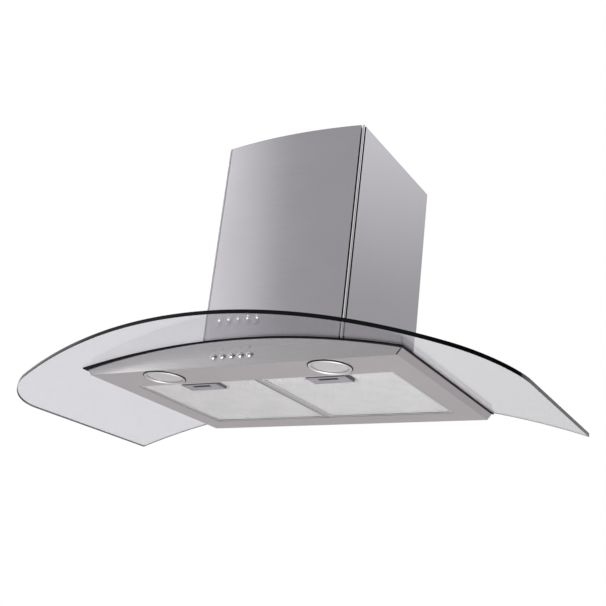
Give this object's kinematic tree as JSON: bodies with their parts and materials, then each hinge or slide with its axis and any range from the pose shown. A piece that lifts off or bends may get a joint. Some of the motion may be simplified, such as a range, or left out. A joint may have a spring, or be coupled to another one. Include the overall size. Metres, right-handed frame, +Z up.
{
  "type": "island range hood",
  "caption": "Chimney range hood with an arched clear glass canopy, brushed steel body, push buttons, lamps and hinged grease filters.",
  "frame": {"origin": "centre of the four wall-fixing holes, on the wall face", "axes": "+X to the right as seen by the cook, -Y out from the wall towards the cook, +Z up"},
  "size_m": [0.9, 0.46, 0.4703],
  "materials": {
    "glass": "clear toughened float glass with a faint blue-green tint and polished edges",
    "stainless": "fine horizontal brushed stainless steel",
    "galvanised": "dull galvanised sheet",
    "zinc_steel": "bright zinc plate",
    "spring_steel": "bright drawn wire",
    "chrome": "polished",
    "filter_aluminium": "bright mill finish",
    "seal_rubber": "matt black extruded rubber",
    "cable_sheath": "white insulated leads",
    "black_plastic": "moulded, lightly textured",
    "grey_plastic": "moulded, satin",
    "nylon": "moulded nylon",
    "transformer_case": "moulded, satin white",
    "motor_enamel": "dark stoving enamel",
    "lamp_glass": "frosted cover glass and clear capsule"
  },
  "bodies": {
    "canopy": {"glass_canopy": "glass", "mains_gland": "nylon", "glass_fixings": "zinc_steel", "glass_seal": "seal_rubber", "top_deck": "galvanised", "plenum_baffle": "galvanised", "hanging_plate": "galvanised", "blower_box": "galvanised", "blower_scroll": "galvanised", "outlet_collar": "galvanised", "motor_bracket": "galvanised", "switch_bracket": "galvanised", "canopy_shell": "stainless", "front_fascia": "stainless", "filter_divider": "stainless", "chimney_front": "stainless", "chimney_side_left": "stainless", "chimney_side_right": "stainless", "button_bezels": "chrome", "lamp_bezel_left": "chrome", "lamp_bezel_right": "chrome", "button_spring_light": "spring_steel", "button_spring_off": "spring_steel", "button_spring_speed_1": "spring_steel", "button_spring_speed_2": "spring_steel", "button_spring_speed_3": "spring_steel", "flap_rod": "spring_steel", "switch_block": "black_plastic", "inlet_rings": "black_plastic", "run_capacitor": "black_plastic", "control_box": "grey_plastic", "lamp_transformer": "transformer_case", "wiring_loom": "cable_sheath", "fan_motor": "motor_enamel", "lamp_can_left": "filter_aluminium", "lamp_can_right": "filter_aluminium", "lamp_lens_left": "lamp_glass", "lamp_lens_right": "lamp_glass", "lamp_bulb_left": "lamp_glass", "lamp_bulb_right": "lamp_glass"},
    "telescope": {"upper_chimney": "stainless", "chimney_bracket": "galvanised"},
    "impeller": {"impeller": "black_plastic"},
    "flap_front": {"flap_front": "black_plastic"},
    "flap_rear": {"flap_rear": "black_plastic"},
    "filter_left": {"filter_frame_left": "filter_aluminium", "filter_mesh_left": "filter_aluminium", "latch_housing_left": "grey_plastic", "latch_spring_left": "spring_steel"},
    "latch_left": {"latch_slider_left": "grey_plastic"},
    "filter_right": {"filter_frame_right": "filter_aluminium", "filter_mesh_right": "filter_aluminium", "latch_housing_right": "grey_plastic", "latch_spring_right": "spring_steel"},
    "latch_right": {"latch_slider_right": "grey_plastic"},
    "button_light": {"button_light": "chrome"},
    "button_off": {"button_off": "chrome"},
    "button_speed_1": {"button_speed_1": "chrome"},
    "button_speed_2": {"button_speed_2": "chrome"},
    "button_speed_3": {"button_speed_3": "chrome"}
  },
  "joints": [
    {"name": "filter_left_swing", "type": "hinge", "parent": "canopy", "child": "filter_left", "pos_m": [-0.1215, -0.049, -0.22], "axis": [1, 0, 0], "range_deg": [0, 75]},
    {"name": "latch_left_slide", "type": "slide", "parent": "filter_left", "child": "latch_left", "axis": [0, 1, 0], "range_m": [0, 0.006], "stiffness_N_per_m": 300, "springref_m": -0.003, "deforming": ["latch_spring_left"]},
    {"name": "filter_right_swing", "type": "hinge", "parent": "canopy", "child": "filter_right", "pos_m": [0.1215, -0.049, -0.22], "axis": [1, 0, 0], "range_deg": [0, 75]},
    {"name": "latch_right_slide", "type": "slide", "parent": "filter_right", "child": "latch_right", "axis": [0, 1, 0], "range_m": [0, 0.006], "stiffness_N_per_m": 300, "springref_m": -0.003, "deforming": ["latch_spring_right"]},
    {"name": "button_light_press", "type": "slide", "parent": "canopy", "child": "button_light", "axis": [0, 0.9926, 0.1211], "range_m": [0, 0.003], "stiffness_N_per_m": 500, "springref_m": -0.002, "deforming": ["button_spring_light"]},
    {"name": "button_off_press", "type": "slide", "parent": "canopy", "child": "button_off", "axis": [0, 0.9926, 0.1211], "range_m": [0, 0.003], "stiffness_N_per_m": 500, "springref_m": -0.002, "deforming": ["button_spring_off"]},
    {"name": "button_speed_1_press", "type": "slide", "parent": "canopy", "child": "button_speed_1", "axis": [0, 0.9926, 0.1211], "range_m": [0, 0.003], "stiffness_N_per_m": 500, "springref_m": -0.002, "deforming": ["button_spring_speed_1"]},
    {"name": "button_speed_2_press", "type": "slide", "parent": "canopy", "child": "button_speed_2", "axis": [0, 0.9926, 0.1211], "range_m": [0, 0.003], "stiffness_N_per_m": 500, "springref_m": -0.002, "deforming": ["button_spring_speed_2"]},
    {"name": "button_speed_3_press", "type": "slide", "parent": "canopy", "child": "button_speed_3", "axis": [0, 0.9926, 0.1211], "range_m": [0, 0.003], "stiffness_N_per_m": 500, "springref_m": -0.002, "deforming": ["button_spring_speed_3"]},
    {"name": "impeller_spin", "type": "hinge", "parent": "canopy", "child": "impeller", "pos_m": [0, -0.135, -0.076], "axis": [1, 0, 0], "continuous": true},
    {"name": "flap_front_swing", "type": "hinge", "parent": "canopy", "child": "flap_front", "pos_m": [0, -0.1, 0.0961], "axis": [-1, 0, 0], "range_deg": [0, 75]},
    {"name": "flap_rear_swing", "type": "hinge", "parent": "canopy", "child": "flap_rear", "pos_m": [0, -0.1, 0.0961], "axis": [1, 0, 0], "range_deg": [0, 75]},
    {"name": "chimney_telescope", "type": "slide", "parent": "canopy", "child": "telescope", "axis": [0, 0, 1], "range_m": [0, 0.3]}
  ]
}
